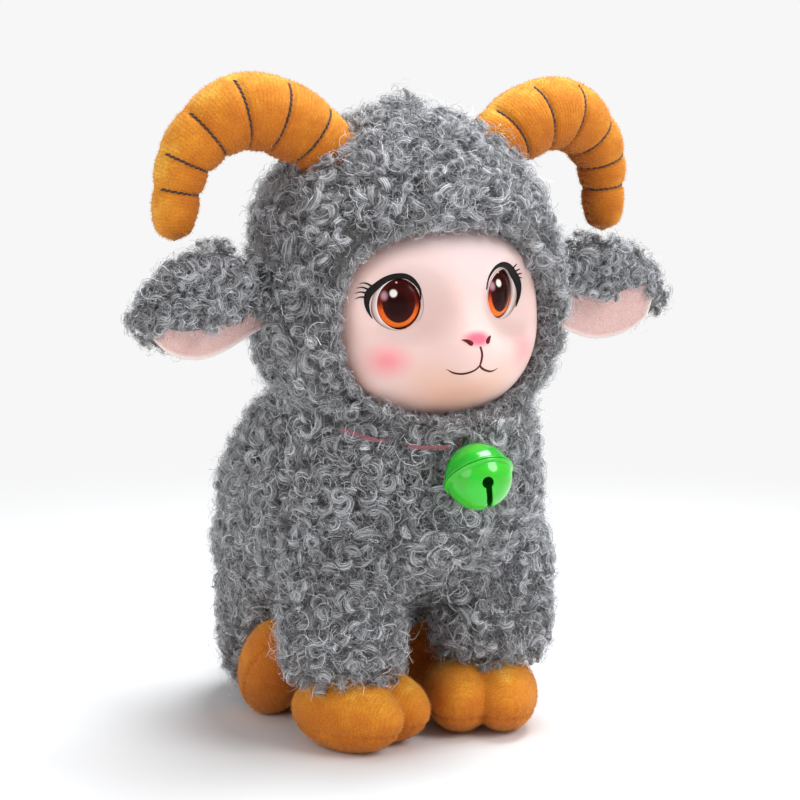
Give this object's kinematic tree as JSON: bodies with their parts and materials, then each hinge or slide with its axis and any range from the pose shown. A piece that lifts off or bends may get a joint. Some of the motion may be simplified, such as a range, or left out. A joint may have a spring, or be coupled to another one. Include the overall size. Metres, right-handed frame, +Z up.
{
  "type": "plush lamb",
  "caption": "Seated stuffed lamb in curly pile fabric with a moulded face, velour horns and hooves, lined ears and a jingle bell on a neck cord.",
  "frame": {"origin": "middle of the flat that the seat rests on", "axes": "+Z up, the face looks along -Y, the lamb's own left is +X"},
  "size_m": [0.1494, 0.1203, 0.1631],
  "materials": {
    "pile": "curly grey pile fabric, matt",
    "fill": "white polyester fibre fill",
    "vinyl": "moulded pale pink vinyl, satin, with printed blush",
    "velour": "amber velour, brushed",
    "lining": "pale pink velour",
    "iris": "printed orange iris and dark maroon pupil",
    "clear": "clear polished plastic",
    "bag": "woven cotton bag",
    "cord": "twisted pink thread",
    "bell": "glossy green lacquer on thin metal",
    "steel": "plain steel"
  },
  "bodies": {
    "root": {"torso_cover": "pile", "head_cover": "pile", "tail": "pile", "front_leg_left": "pile", "front_leg_right": "pile", "haunch_left": "pile", "haunch_right": "pile", "torso_stuffing": "fill", "head_stuffing": "fill", "face_mask": "vinyl", "horn_left": "velour", "horn_right": "velour", "front_hoof_left": "velour", "front_hoof_right": "velour", "hind_hoof_left": "velour", "hind_hoof_right": "velour", "eye_print_left": "iris", "eye_print_right": "iris", "eye_dome_left": "clear", "eye_dome_right": "clear", "pellet_bag": "bag", "neck_cord": "cord"},
    "bell": {"bell_cap": "bell", "bell_cup": "bell", "bell_loop": "bell"},
    "ball": {"bell_ball": "steel"},
    "ear_left": {"ear_outer_left": "pile", "ear_lining_left": "lining"},
    "ear_right": {"ear_outer_right": "pile", "ear_lining_right": "lining"}
  },
  "joints": [
    {"name": "bell_swing", "type": "hinge", "parent": "root", "child": "bell", "pos_m": [0, -0.0803, 0.0764], "axis": [-1, 0, 0], "range_deg": [0, 45]},
    {"name": "ball_roll", "type": "hinge", "parent": "bell", "child": "ball", "pos_m": [0, -0.08602, 0.06958], "axis": [-1, 0, 0], "range_deg": [-60, 60]},
    {"name": "ear_left_flap", "type": "hinge", "parent": "root", "child": "ear_left", "pos_m": [0.0396, -0.05, 0.113], "axis": [0, 0, -1], "range_deg": [-20, 20], "stiffness_Nm_per_rad": 0.004},
    {"name": "ear_right_flap", "type": "hinge", "parent": "root", "child": "ear_right", "pos_m": [-0.0396, -0.05, 0.113], "axis": [0, 0, 1], "range_deg": [-20, 20], "stiffness_Nm_per_rad": 0.004}
  ]
}
